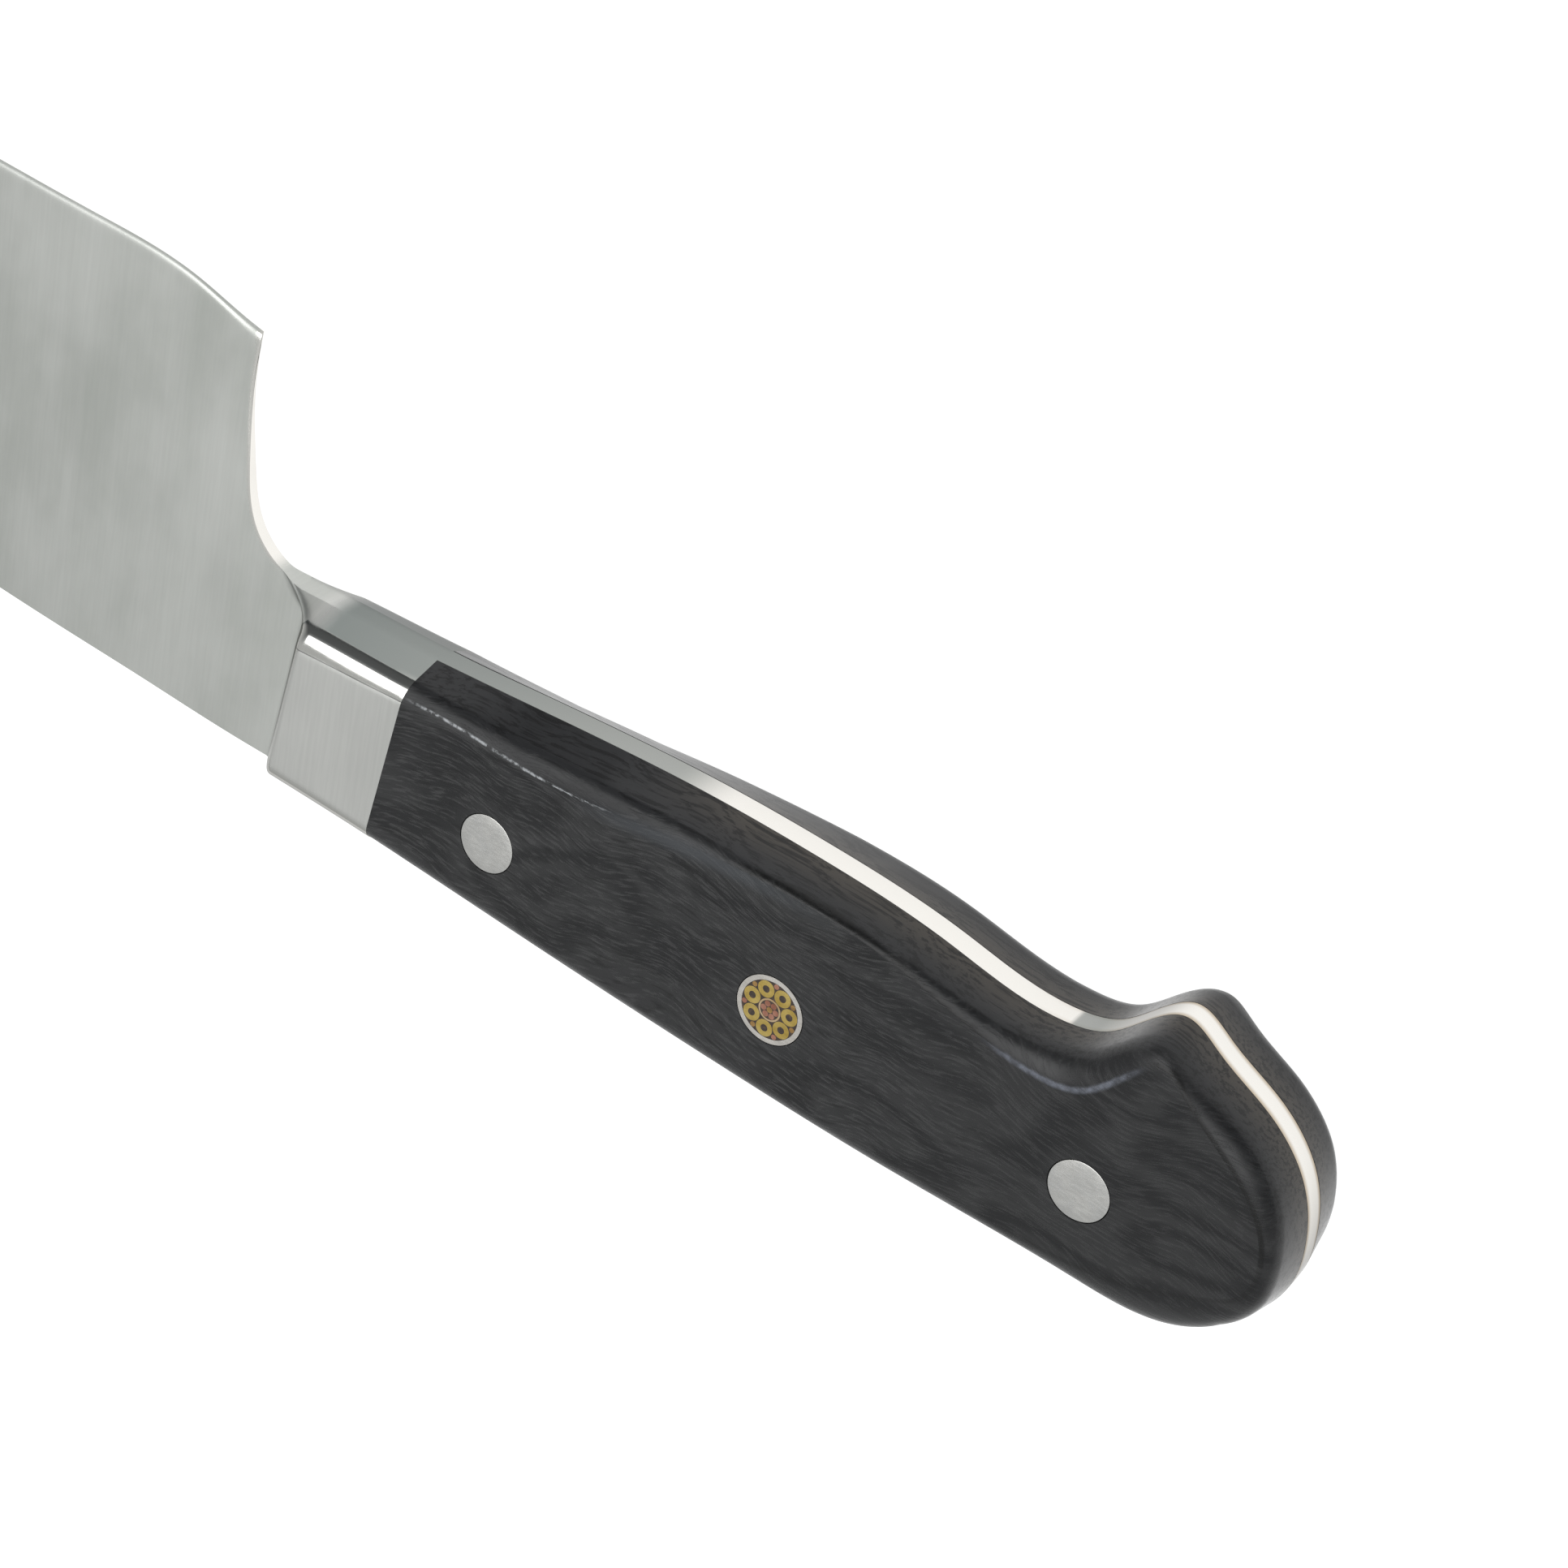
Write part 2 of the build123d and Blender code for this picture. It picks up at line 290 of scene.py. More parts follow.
class Shader:
    """A Principled material and short calls for the nodes that feed it."""

    def __init__(self, name, color, roughness=0.5, metallic=0.0):
        self.material = bpy.data.materials.new(name)
        self.material.use_nodes = True
        self.nodes = self.material.node_tree.nodes
        self.links = self.material.node_tree.links
        self.main = self.nodes["Principled BSDF"]
        self.set("Base Color", (*color, 1))
        self.set("Roughness", roughness)
        self.set("Metallic", metallic)
        self.place = self.nodes.new("ShaderNodeTexCoord").outputs["Object"]

    def set(self, socket, value):
        target = self.main.inputs[socket]
        if isinstance(value, bpy.types.NodeSocket):
            self.links.new(value, target)
        else:
            target.default_value = value

    def feed(self, node, socket, value):
        if isinstance(value, bpy.types.NodeSocket):
            self.links.new(value, node.inputs[socket])
        else:
            node.inputs[socket].default_value = value

    def stretched(self, scale, shift=(0, 0, 0), source=None):
        """The object's own coordinates in metres, times a scale for each axis."""
        node = self.nodes.new("ShaderNodeMapping")
        self.feed(node, "Vector", source or self.place)
        node.inputs["Scale"].default_value = scale
        node.inputs["Location"].default_value = shift
        return node.outputs["Vector"]

    def noise(self, vector, scale=1.0, detail=4.0, roughness=0.5, distortion=0.0):
        node = self.nodes.new("ShaderNodeTexNoise")
        self.feed(node, "Vector", vector)
        node.inputs["Scale"].default_value = scale
        node.inputs["Detail"].default_value = detail
        node.inputs["Roughness"].default_value = roughness
        node.inputs["Distortion"].default_value = distortion
        return node.outputs["Fac"]

    def math(self, operation, a, b=0.0, c=0.0):
        node = self.nodes.new("ShaderNodeMath")
        node.operation = operation
        for index, value in enumerate((a, b, c)):
            self.feed(node, index, value)
        return node.outputs["Value"]

    def times(self, a, b):
        return self.math("MULTIPLY", a, b)

    def inverse(self, value):
        return self.math("SUBTRACT", 1.0, value)

    def spread(self, value, low, high, to_low=0.0, to_high=1.0):
        """A value taken from one range to another, eased at both ends."""
        node = self.nodes.new("ShaderNodeMapRange")
        node.interpolation_type = "SMOOTHSTEP"
        for socket, number in (("Value", value), ("From Min", low), ("From Max", high),
                               ("To Min", to_low), ("To Max", to_high)):
            self.feed(node, socket, number)
        return node.outputs["Result"]

    def band(self, value, middle, inner, outer):
        """1 where a value is within inner of a middle one, eased to 0 where it is outer away."""
        off = self.math("ABSOLUTE", self.math("SUBTRACT", value, middle))
        return self.inverse(self.spread(off, inner, outer))

    def mix(self, factor, a, b):
        node = self.nodes.new("ShaderNodeMix")
        node.data_type = "RGBA"
        self.feed(node, MIX_FACTOR, factor)
        for index, value in ((MIX_A, a), (MIX_B, b)):
            self.feed(node, index, value if isinstance(value, bpy.types.NodeSocket) else (*value, 1))
        return node.outputs[MIX_RESULT]

    def attribute(self, name):
        node = self.nodes.new("ShaderNodeAttribute")
        node.attribute_name = name
        return node.outputs["Fac"]

    def bump(self, height, distance, strength=1.0):
        node = self.nodes.new("ShaderNodeBump")
        node.inputs["Strength"].default_value = strength
        node.inputs["Distance"].default_value = distance
        self.feed(node, "Height", height)
        self.set("Normal", node.outputs["Normal"])


# ---------------------------------------------------------------- materials
def forging_steel():
    """Satin ground on the blade and the flat sides, polished on rolls, facets, choil and tang."""
    s = Shader("forging_steel", (0.62, 0.62, 0.6), 0.3, 1.0)
    polish = s.attribute("polish")
    grain = s.noise(s.stretched((2600, 90, 300)), detail=3.0, roughness=0.6)
    patches = s.noise(s.stretched((60, 38, 60)), detail=5.0, roughness=0.62)
    bands = s.noise(s.stretched((420, 24, 60)), detail=3.0, roughness=0.55)
    blade = s.mix(s.spread(patches, 0.3, 0.72), (0.455, 0.47, 0.44), (0.51, 0.52, 0.495))
    satin = s.mix(s.attribute("side"), blade, (0.56, 0.562, 0.54))
    satin = s.mix(s.times(s.spread(bands, 0.35, 0.75), 0.25), satin, (0.56, 0.565, 0.545))
    satin = s.mix(s.times(s.spread(grain, 0.3, 0.7), 0.2), satin, (0.4, 0.405, 0.39))
    near_scales = s.spread(s.math("ABSOLUTE", s.attribute("level")), 0.5, 1.0)
    tarnish = s.times(near_scales, s.attribute("rear"))
    pale = s.mix(s.times(tarnish, 0.85), (0.77, 0.75, 0.71), (0.42, 0.34, 0.24))
    # The polished colour runs from dark to pale by bright, which holds painted reflections and highlights.
    polished = s.mix(s.attribute("bright"), (0.19, 0.208, 0.2), pale)
    color = s.mix(polish, satin, polished)
    # A painted dark line: painted shade along the bolster's side.
    hairline = s.band(s.attribute("inside"), 0.0, 0.01, 0.09)
    s.set("Base Color", s.mix(s.times(hairline, 0.7), color, (0.06, 0.06, 0.06)))
    s.set("Specular Tint", (0.55, 0.55, 0.55, 1))
    satin_rough = s.spread(patches, 0.25, 0.75, 0.3, 0.38)
    smears = s.noise(s.stretched((300, 300, 300)), detail=2.0)
    polish_rough = s.spread(smears, 0.3, 0.7, 0.07, 0.11)
    satin_share = s.inverse(polish)
    rough = s.math("ADD", s.times(satin_share, satin_rough), s.times(polish, polish_rough))
    s.set("Roughness", rough)
    s.bump(s.times(satin_share, grain), 0.0000035)
    return s.material


def along_grain(s):
    """The object's coordinates with a slight waver, so that pores and fibres aren't dead straight."""
    waver = s.noise(s.stretched((55, 55, 55)), detail=1.0)
    shift = s.nodes.new("ShaderNodeCombineXYZ")
    s.feed(shift, "Y", s.times(s.math("SUBTRACT", waver, 0.5), 0.012))
    wavered = s.nodes.new("ShaderNodeVectorMath")
    wavered.operation = "ADD"
    s.feed(wavered, 0, s.place)
    s.feed(wavered, 1, shift.outputs["Vector"])
    return wavered.outputs["Vector"]


def scale_wood():
    """Black-dyed laminated wood: soft ring contours, fine pores, worn creases, and painted shade and painted
    highlights along the creases.
    """
    s = Shader("scale_wood", (0.02, 0.02, 0.021), 0.4)
    facet, low, figure, across = (s.attribute(name) for name in ("facet", "low", "figure", "across"))
    along = along_grain(s)
    swirl = s.noise(s.stretched((24, 70, 60)), detail=2.0, roughness=0.45, distortion=0.35)
    contour = s.spread(s.math("SINE", s.times(swirl, 50.0)), -1.0, 1.0)
    pores = s.noise(s.stretched((430, 3600, 900), source=along), detail=4.0, roughness=0.62)
    streaks = s.spread(pores, 0.5, 0.66)
    dyed = s.noise(s.stretched((300, 3000, 900), (3, 1, 2), along), detail=3.0)
    dark_streaks = s.spread(dyed, 0.52, 0.68)
    fibres = s.noise(s.stretched((85, 2300, 2300), source=along), detail=4.0, roughness=0.62)
    speckle = s.noise(s.stretched((1100, 1100, 1100)), detail=3.0, roughness=0.7)

    flat = s.mix(contour, (0.0075, 0.0077, 0.0083), (0.0165, 0.0167, 0.0172))
    flat = s.mix(s.times(s.times(streaks, 0.6), figure), flat, (0.036, 0.036, 0.0365))
    flat = s.mix(s.times(s.times(dark_streaks, 0.6), figure), flat, (0.003, 0.003, 0.0032))
    # Painted reflection: the facets are painted lighter and browner towards the tang.
    edge = s.mix(s.times(low, 0.9), (0.017, 0.0173, 0.0183), (0.05, 0.044, 0.037))
    edge = s.mix(s.times(s.spread(fibres, 0.47, 0.6), 0.8), edge, (0.004, 0.004, 0.0042))
    color = s.mix(facet, flat, edge)

    worn = s.times(s.band(across, s.attribute("worn_at"), 0.02, 0.22), s.attribute("worn"))
    color = s.mix(s.times(worn, s.spread(speckle, 0.36, 0.6)), color, (0.26, 0.27, 0.28))
    # Painted highlight: a pale bluish band on the flat side, next to the crease.
    painted_flat_highlight = s.times(s.band(across, -0.5, 0.1, 1.5), s.attribute("painted_flat_highlight"))
    color = s.mix(painted_flat_highlight, color, (0.055, 0.06, 0.066))
    # Painted highlight: a thin bluish line along the crease in the hollow before the hook.
    valley_highlight = s.times(s.band(across, -0.05, 0.05, 0.55), s.attribute("painted_valley_highlight"))
    color = s.mix(s.times(valley_highlight, s.spread(speckle, 0.3, 0.7, 0.4, 1.0)), color, (0.1, 0.108, 0.13))
    # Painted shade: a near-black line along the middle of the crease.
    crease_shade = s.times(s.band(across, 0.4, 0.12, 0.42), s.attribute("painted_crease_shade"))
    crease_shade = s.times(crease_shade, s.spread(speckle, 0.3, 0.6, 0.75, 1.0))
    s.set("Base Color", s.mix(crease_shade, color, (0.0025, 0.0025, 0.0025)))

    s.set("Specular IOR Level", 0.25)
    flat_share = s.inverse(facet)
    flat_rough = s.spread(pores, 0.35, 0.7, 0.36, 0.5)
    facet_rough = s.spread(fibres, 0.35, 0.7, 0.17, 0.27)
    rough = s.math("ADD", s.times(flat_share, flat_rough), s.times(facet, facet_rough))
    s.set("Roughness", rough)
    s.bump(s.times(s.inverse(streaks), flat_share), 0.00002, 0.7)
    return s.material


def pin_metal(name, color, dark, roughness):
    """A cut and sanded pin end: fine scratches over slightly uneven colour."""
    s = Shader(name, color, roughness, 1.0)
    scratches = s.noise(s.stretched((900, 3600, 900)), detail=3.0, roughness=0.65)
    clouds = s.noise(s.stretched((420, 420, 420)), detail=3.0)
    tone = s.mix(s.spread(clouds, 0.3, 0.7), dark, color)
    s.set("Base Color", s.mix(s.times(s.spread(scratches, 0.35, 0.75), 0.3), tone, dark))
    s.set("Roughness", s.spread(scratches, 0.3, 0.7, roughness - 0.04, roughness + 0.08))
    s.bump(scratches, 0.000004)
    return s.material


def dark_filling(name, color, light, roughness):
    """Dark resin or epoxy with fine lighter specks."""
    s = Shader(name, color, roughness)
    specks = s.noise(s.stretched((2600, 2600, 2600)), detail=3.0)
    s.set("Base Color", s.mix(s.spread(specks, 0.45, 0.75), color, light))
    s.set("Roughness", s.spread(specks, 0.3, 0.7, roughness - 0.05, roughness + 0.1))
    s.bump(specks, 0.00001)
    return s.material


STEEL = forging_steel()
WOOD = scale_wood()
RIVET = pin_metal("rivet_steel", (0.49, 0.485, 0.465), (0.44, 0.44, 0.43), 0.36)
TUBE = pin_metal("pin_tube_steel", (0.58, 0.555, 0.52), (0.5, 0.475, 0.44), 0.33)
BRASS = pin_metal("pin_brass", (0.56, 0.43, 0.15), (0.4, 0.28, 0.07), 0.32)
GILT = pin_metal("pin_centre_tube", (0.6, 0.46, 0.3), (0.46, 0.32, 0.18), 0.33)
COPPER = pin_metal("pin_copper", (0.5, 0.26, 0.19), (0.28, 0.12, 0.08), 0.34)
BRONZE = pin_metal("pin_bronze", (0.48, 0.3, 0.12), (0.26, 0.15, 0.06), 0.34)
RESIN = dark_filling("pin_resin", (0.02, 0.012, 0.008), (0.05, 0.028, 0.015), 0.3)
EPOXY = dark_filling("bedding_epoxy", (0.012, 0.012, 0.012), (0.03, 0.03, 0.03), 0.5)


# ---------------------------------------------------------------- scales
FLAT_MARGIN = (0.25, 0.55, 1.0, 1.7, 2.8)    # rows of points on the side face, inside its crease
FACET_STEPS = 6
ROLL_STEPS = 16
SCALE_COLUMNS = 800
# Stretches along the handle: where each sets in, is full, begins to fade and ends.
WORN = (-51.5, -47.0, -27.0, -22.0)          # the line rubbed pale along the front of the crease
FLAT_HIGHLIGHT = (-30.0, -18.0, -8.0, 8.0)             # a painted highlight on the flat side, next to the crease
CREASE_SHADE = (-14.0, -4.0, 22.0, 27.0)            # painted shade: the dark line along the middle of the crease
VALLEY_HIGHLIGHT = (22.0, 28.0, 36.5, 40.5)            # a painted highlight along the crease in the hollow before the hook
# Shorter ones, over which something only sets in or only fades.
WORN_NEARS = (-46.0, -25.0)                  # the worn line comes in to the crease
HOOK_CREASE_SHADE = (39.0, 42.0)
SPINE_CREASE_SHADE = (10.0, 20.0)
BROWN_REFLECTION_SETS_IN = (-24.0, -8.0)
FIGURE_FADES = (8.0, 34.0)
WORN_DRIFT = 1.1        # how far the worn line starts out on the facet side of the crease
BROWN_REFLECTION_HEIGHT = 4.4      # height of the painted lighter, browner reflection above the tang


def handle_rows(at, low_z):
    """Rows of points from the tang up the facet, over the roll and onto the side face."""
    edge, inner = outline(at), crease(at)
    facet, roll_height = (np.interp(at, HANDLE_KNOTS, STATIONS[:, k]) for k in (4, 5))
    inward = inner - edge
    inset = np.linalg.norm(inward, axis=1)
    inward = inward / inset[:, None]
    roll = inset - facet
    top = half_width(edge[:, 0])
    facet_top = top - roll_height
    steps = [(i / FACET_STEPS, 0.0) for i in range(FACET_STEPS + 1)]
    steps += [(1.0, pi / 2 * i / ROLL_STEPS) for i in range(1, ROLL_STEPS + 1)]
    rows = []
    for share, angle in steps:
        z = low_z + (facet_top - low_z) * share + roll_height * sin(angle)
        drop = facet * (z - low_z) / (top - low_z) + roll * (1 - cos(angle))
        place = edge + inward * drop[:, None]
        z = z * half_width(place[:, 0]) / top
        rows.append(np.column_stack([place, z]))
    for margin in FLAT_MARGIN:
        place = edge + inward * (inset + margin)[:, None]
        rows.append(np.column_stack([place, half_width(place[:, 0])]))
    return np.array(rows)


def banded_solid(rows):
    """Points and faces of a solid whose rows of points run from a flat bottom to a flat top."""
    n_rows, n = rows.shape[:2]
    faces = [tuple(reversed(range(n))), tuple(range((n_rows - 1) * n, n_rows * n))]
    for r in range(n_rows - 1):
        for i in range(n):
            j = (i + 1) % n
            faces.append((r * n + i, r * n + j, (r + 1) * n + j, (r + 1) * n + i))
    return rows.reshape(-1, 3), faces


def trim_at_joint(bm):
    """Cut away what lies in front of the leaning joint, and close the cut."""
    here = Vector(to_world([[JOINT_X, 0, 0]])[0])
    ahead = Vector(TURN @ np.array([1, -LEAN, 0])).normalized()
    everything = bm.verts[:] + bm.edges[:] + bm.faces[:]
    cut = bmesh.ops.bisect_plane(bm, geom=everything, plane_co=here, plane_no=ahead, clear_inner=True)
    edges = [item for item in cut["geom_cut"] if isinstance(item, bmesh.types.BMEdge)]
    bmesh.ops.holes_fill(bm, edges=edges)


def nearest_on(curve, points):
    """Distance from each point to a dense curve, and the index of the nearest place on it."""
    away = np.linalg.norm(points[:, None, :] - curve[None, :, :], axis=2)
    index = away.argmin(axis=1)
    return away[np.arange(len(points)), index], index


def stretch(x, begin, full, fade, end):
    """1 from full to fade, eased to 0 at begin and end."""
    return smoothstep(begin, full, x) * (1 - smoothstep(fade, end, x))


def paint_wood(piece):
    """Attributes for the wood's shader: where it is polished and worn, and where shade and highlights are
    painted on it.
    """
    at = np.linspace(HANDLE_KNOTS[0], HANDLE_KNOTS[-1], 600)
    roll_height = np.interp(at, HANDLE_KNOTS, STATIONS[:, 5])
    points = own_points(piece)
    distance, index = nearest_on(crease(at), points[:, 0:2])
    x, z = points[:, 0], np.abs(points[:, 2])
    below_top = half_width(x) - z
    belly = at[index] < HANDLE_KNOTS[BUTT_STATION]
    # Painted shade along the crease, on the belly side and more faintly on the spine side.
    belly_crease_shade = np.maximum(smoothstep(*HOOK_CREASE_SHADE, x), stretch(x, *CREASE_SHADE))
    spine_crease_shade = 0.4 * smoothstep(*SPINE_CREASE_SHADE, x)
    # Painted reflection: lighter and browner low on the facets, near the tang.
    low = 1 - smoothstep(HALF_TANG, HALF_TANG + BROWN_REFLECTION_HEIGHT, z)
    paint(piece, "facet", smoothstep(0.02, 1.0, below_top / roll_height[index]))
    paint(piece, "across", np.where(below_top > 0.003, distance, -distance))
    paint(piece, "low", low * smoothstep(*BROWN_REFLECTION_SETS_IN, x))
    paint(piece, "worn", stretch(x, *WORN) * belly)
    paint(piece, "worn_at", WORN_DRIFT * (1 - smoothstep(*WORN_NEARS, x)))
    paint(piece, "painted_crease_shade", np.where(belly, belly_crease_shade, spine_crease_shade))
    # Painted highlight in the hollow before the hook.
    paint(piece, "painted_valley_highlight", stretch(x, *VALLEY_HIGHLIGHT) * belly)
    # Painted highlight on the flat side, next to the crease.
    paint(piece, "painted_flat_highlight", 0.45 * stretch(x, *FLAT_HIGHLIGHT) * belly)
    paint(piece, "figure", 1 - 0.6 * smoothstep(*FIGURE_FADES, x))


def make_scale(name, node, side):
    at = np.linspace(HANDLE_KNOTS[0], HANDLE_KNOTS[-1], SCALE_COLUMNS)
    points, faces = banded_solid(handle_rows(at, HALF_TANG + FILM))
    piece = new_object(name, points * np.array([1, 1, side]), faces, WOOD)
    with_bmesh(piece, trim_at_joint)
    drill_for_pins(piece)
    paint_wood(piece)
    shade(piece, sharp_angle=38)
    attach(piece, "root")
    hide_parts(node)


# ---------------------------------------------------------------- forging: blade, bolster, tang
FOOT_X = -69.9          # foot of the bolster's front slope, on the line of the pins
FOOT_HEIGHT = 0.7       # half the thickness at which that slope starts
FRONT_RISE = 2.2        # how steeply it rises
SWEEP = 4.2             # how far the foot sweeps forward at the belly
SWEEP_START = 10.8      # where on the way to the belly that begins
SWEEP_EASE = 2.5        # and how much gentler the slope becomes there
FOOT_ROUND = 2.0        # how wide the rounding at the foot is
FOOT_FADE = (-67.5, -64.0)                   # x over which it dies away, behind the foot
BROW_ROUND = 2.2        # and at the brow, where the slope meets the flat side
STEP_X = -71.6          # front of the small step from the bolster's spine to the blade's
EASED = 0.35            # how much the blade's border is eased, at the heel and ahead of it
EASED_REACH = 0.28      # how fast that dies away from the border
ROLL_DEPTH = 1.9        # a roll reaches this far down from the side face
# The bolster's section: how far a facet draws in, and how high the roll above it is.
BELLY_FACET, BELLY_ROLL = 2.0, 1.8
SPINE_FACET, SPINE_ROLL = 1.4, 2.0
BELLY_INSET = ((-66.9, 4.6), (-51.4, 4.0))   # x, and how far in the flat side starts
SPINE_INSET = ((-69.6, 3.5), (-52.3, 3.4))
SECTION_X = -60.0       # where that section is drawn
SECTION_INSET = 4.0     # and how far in its flat side starts there
HEEL_LEAN = 8.0         # how far the lines of points from the heel lean to the blade's point
FOOT_LEAN = 3.0         # and how much more, the further they are ahead of the bolster's foot
LINE_GAP = 0.2          # between the last line of the edge and the first of the choil, at the spine
BUTT_SHARE = 0.9985     # the tang's last line of points stops just short of the butt's middle
BLADE_COLUMNS = 220
CHOIL_COLUMNS = 300
TANG_COLUMNS = 520
# Rows of points close to each end of a line, by their distance from it.
NEAR_ROWS = (0, 0.05, 0.12, 0.22, 0.35, 0.5, 0.7, 0.9, 1.1, 1.3, 1.5, 1.7, 1.95, 2.2, 2.45, 2.7, 2.95,
             3.2, 3.45, 3.7, 3.95, 4.2, 4.5, 5.0, 5.7)
NEAR_LENGTH = 16.0      # lines shorter than this have those rows closer together
MIDDLE_ROWS = 20
WALL_LEVELS = (0.5, 0.0, -0.5)
CROWN = 0.035           # how far the wall swells at the mid-plane
# Where the polish sets in, across the bolster and then along the knife.
BELLY_POLISH, SPINE_POLISH = (7.0, 11.0), (-7.0, -5.0)
ROLL_POLISH, FACET_POLISH = (0.5, 1.5), (2.0, 5.5)   # both behind the bolster's foot
CHOIL_POLISH_ENDS = (-75.0, -72.5)
CHOIL_POLISH_REACH = 0.35
# Where the polished steel is painted brighter or darker, as painted reflections, and where it turns
# tarnished.
CHOIL_GLEAM_ENDS = (-74.0, -71.0)
TANG_GLEAM = (-20.0, -12.0)
HOLLOW = (29.0, 29.6, 31.5, 36.0)            # a stretch painted darker, a painted reflection, given as for the wood
TARNISH = (22.0, 42.0)


def blade_curve(column):
    stations = np.array(BLADE)[::-1]
    return stations[:, 0], stations[:, column]


def spine_line(x):
    """The spine of the bolster and the blade in one line, with the small step between them."""
    at = np.linspace(HANDLE_KNOTS[-7], HANDLE_KNOTS[-1], 300)
    grip = outline(at)[::-1]
    xs = np.linspace(BLADE[-1][0], STEP_X, 400)
    blade = np.column_stack([xs, cubic(*blade_curve(1), xs)])
    line = np.vstack([blade, grip])
    return np.interp(x, line[:, 0], line[:, 1])


def edge_line(x):
    return cubic(*blade_curve(2), np.ravel(x)).reshape(np.shape(x))


def heel_parameter():
    """Where the choil's outline crosses the cutting edge, close to its start."""
    at = np.linspace(0, 3, 600)
    line = outline(at)
    return at[np.argmax(line[:, 1] <= edge_line(line[:, 0]))]


def column_ends():
    """Border and spine ends of every line of points, from the point of the blade to the butt."""
    tip_x = BLADE[-1][0]
    heel_at = heel_parameter()
    heel = outline([heel_at])[0]
    share = np.linspace(0, 1, BLADE_COLUMNS)
    edge_x = tip_x + (heel[0] - tip_x) * share
    edge = np.column_stack([edge_x, edge_line(edge_x)])
    edge[-1] = heel
    at = np.linspace(heel_at, BELLY_JOINT, CHOIL_COLUMNS)[1:]
    choil = outline(at)
    low = CHOIL[-1][1]
    rise = np.clip((choil[:, 1] - low) / (heel[1] - low), 0, 1)
    past = np.clip((FOOT_X - choil[:, 0]) / (FOOT_X - heel[0]), 0, 1)
    joint_lean = LEAN * (outline([BELLY_JOINT])[0, 1] - outline([SPINE_JOINT])[0, 1])
    choil_spine_x = choil[:, 0] - joint_lean - FOOT_LEAN * past - HEEL_LEAN * rise
    choil_spine_x = np.maximum.accumulate(np.minimum(choil_spine_x, choil_spine_x[-1]))
    last_x = choil_spine_x[0] - LINE_GAP
    edge_spine_x = tip_x + (last_x - tip_x) * share
    spine_x = np.concatenate([edge_spine_x, choil_spine_x])
    spine = np.column_stack([spine_x, spine_line(spine_x)])
    spine[-1] = outline([SPINE_JOINT])[0]
    return np.vstack([edge, choil]), spine


def tang_ends():
    """The same ends for the tang, from the joint to the butt."""
    butt = HANDLE_KNOTS[BUTT_STATION]
    share = np.linspace(0, BUTT_SHARE, TANG_COLUMNS)
    border = outline(BELLY_JOINT + (butt - BELLY_JOINT) * share)
    spine = outline(SPINE_JOINT + (butt - SPINE_JOINT) * share)
    return border, spine


def fill_columns(border, spine):
    """Lines of points from the spine to the border, closer together near both ends."""
    length = np.linalg.norm(border - spine, axis=1)
    reach = np.minimum(1.0, length / NEAR_LENGTH)
    near = np.array(NEAR_ROWS)[None, :] * (reach / length)[:, None]
    middle = np.linspace(0, 1, MIDDLE_ROWS + 2)[None, 1:-1]
    middle = near[:, -1:] + (1 - 2 * near[:, -1:]) * middle
    share = np.hstack([near, middle, 1 - near[:, ::-1]])
    return spine[:, None, :] + (border - spine)[:, None, :] * share[:, :, None]


def inset_at(x, ends):
    """How far in from the outline the bolster's flat side starts."""
    return np.interp(x, *zip(*ends))


def side_height(distance, inset, facet, roll_height, top):
    """Height of the bolster's section at a distance in from its edge."""
    section_top = half_width(SECTION_X)
    angle = np.linspace(0, pi / 2, 60)
    z = np.concatenate([[HALF_TANG], section_top - roll_height + roll_height * np.sin(angle)])
    drop = facet * (z - HALF_TANG) / (section_top - HALF_TANG)
    drop[1:] += (SECTION_INSET - facet) * (1 - np.cos(angle))
    found = np.interp(distance * SECTION_INSET / inset, drop, z)
    return HALF_TANG + (found - HALF_TANG) * (top - HALF_TANG) / (section_top - HALF_TANG)


def blade_height(x, y):
    """Half the blade's thickness: flat ground from the spine to a short secondary bevel."""
    low_y, high_y = spine_line(x), edge_line(x)
    half_spine = np.interp(x, *blade_curve(3)) / 2
    bevel_height = BEVEL_HEIGHT + HEEL_BEVEL * np.exp(np.minimum(x - HEEL_X, 0) / HEEL_REACH)
    bevel_y = high_y - bevel_height
    face = half_spine + (BEVEL_HALF - half_spine) * np.clip((y - low_y) / (bevel_y - low_y), 0, 1)
    share = np.clip((y - bevel_y) / bevel_height, 0, 1)
    return np.where(share > 0, BEVEL_HALF + (EDGE_HALF - BEVEL_HALF) * share, face)


def bolster_height(x, y, belly_y, swept):
    """The bolster's front slope, rounded over at the brow into its flat side, rolls and facets."""
    top = half_width(x)
    belly = side_height(belly_y - y, inset_at(x, BELLY_INSET), BELLY_FACET, BELLY_ROLL, top)
    spine = side_height(y - spine_line(x), inset_at(x, SPINE_INSET), SPINE_FACET, SPINE_ROLL, top)
    rise = FRONT_RISE / (1 + SWEEP_EASE * swept)
    front = FOOT_HEIGHT + rise * (x - FOOT_X - LEAN * y + SWEEP * swept)
    return smooth_min(front, np.minimum(belly, spine), BROW_ROUND * (1 - 0.6 * swept))


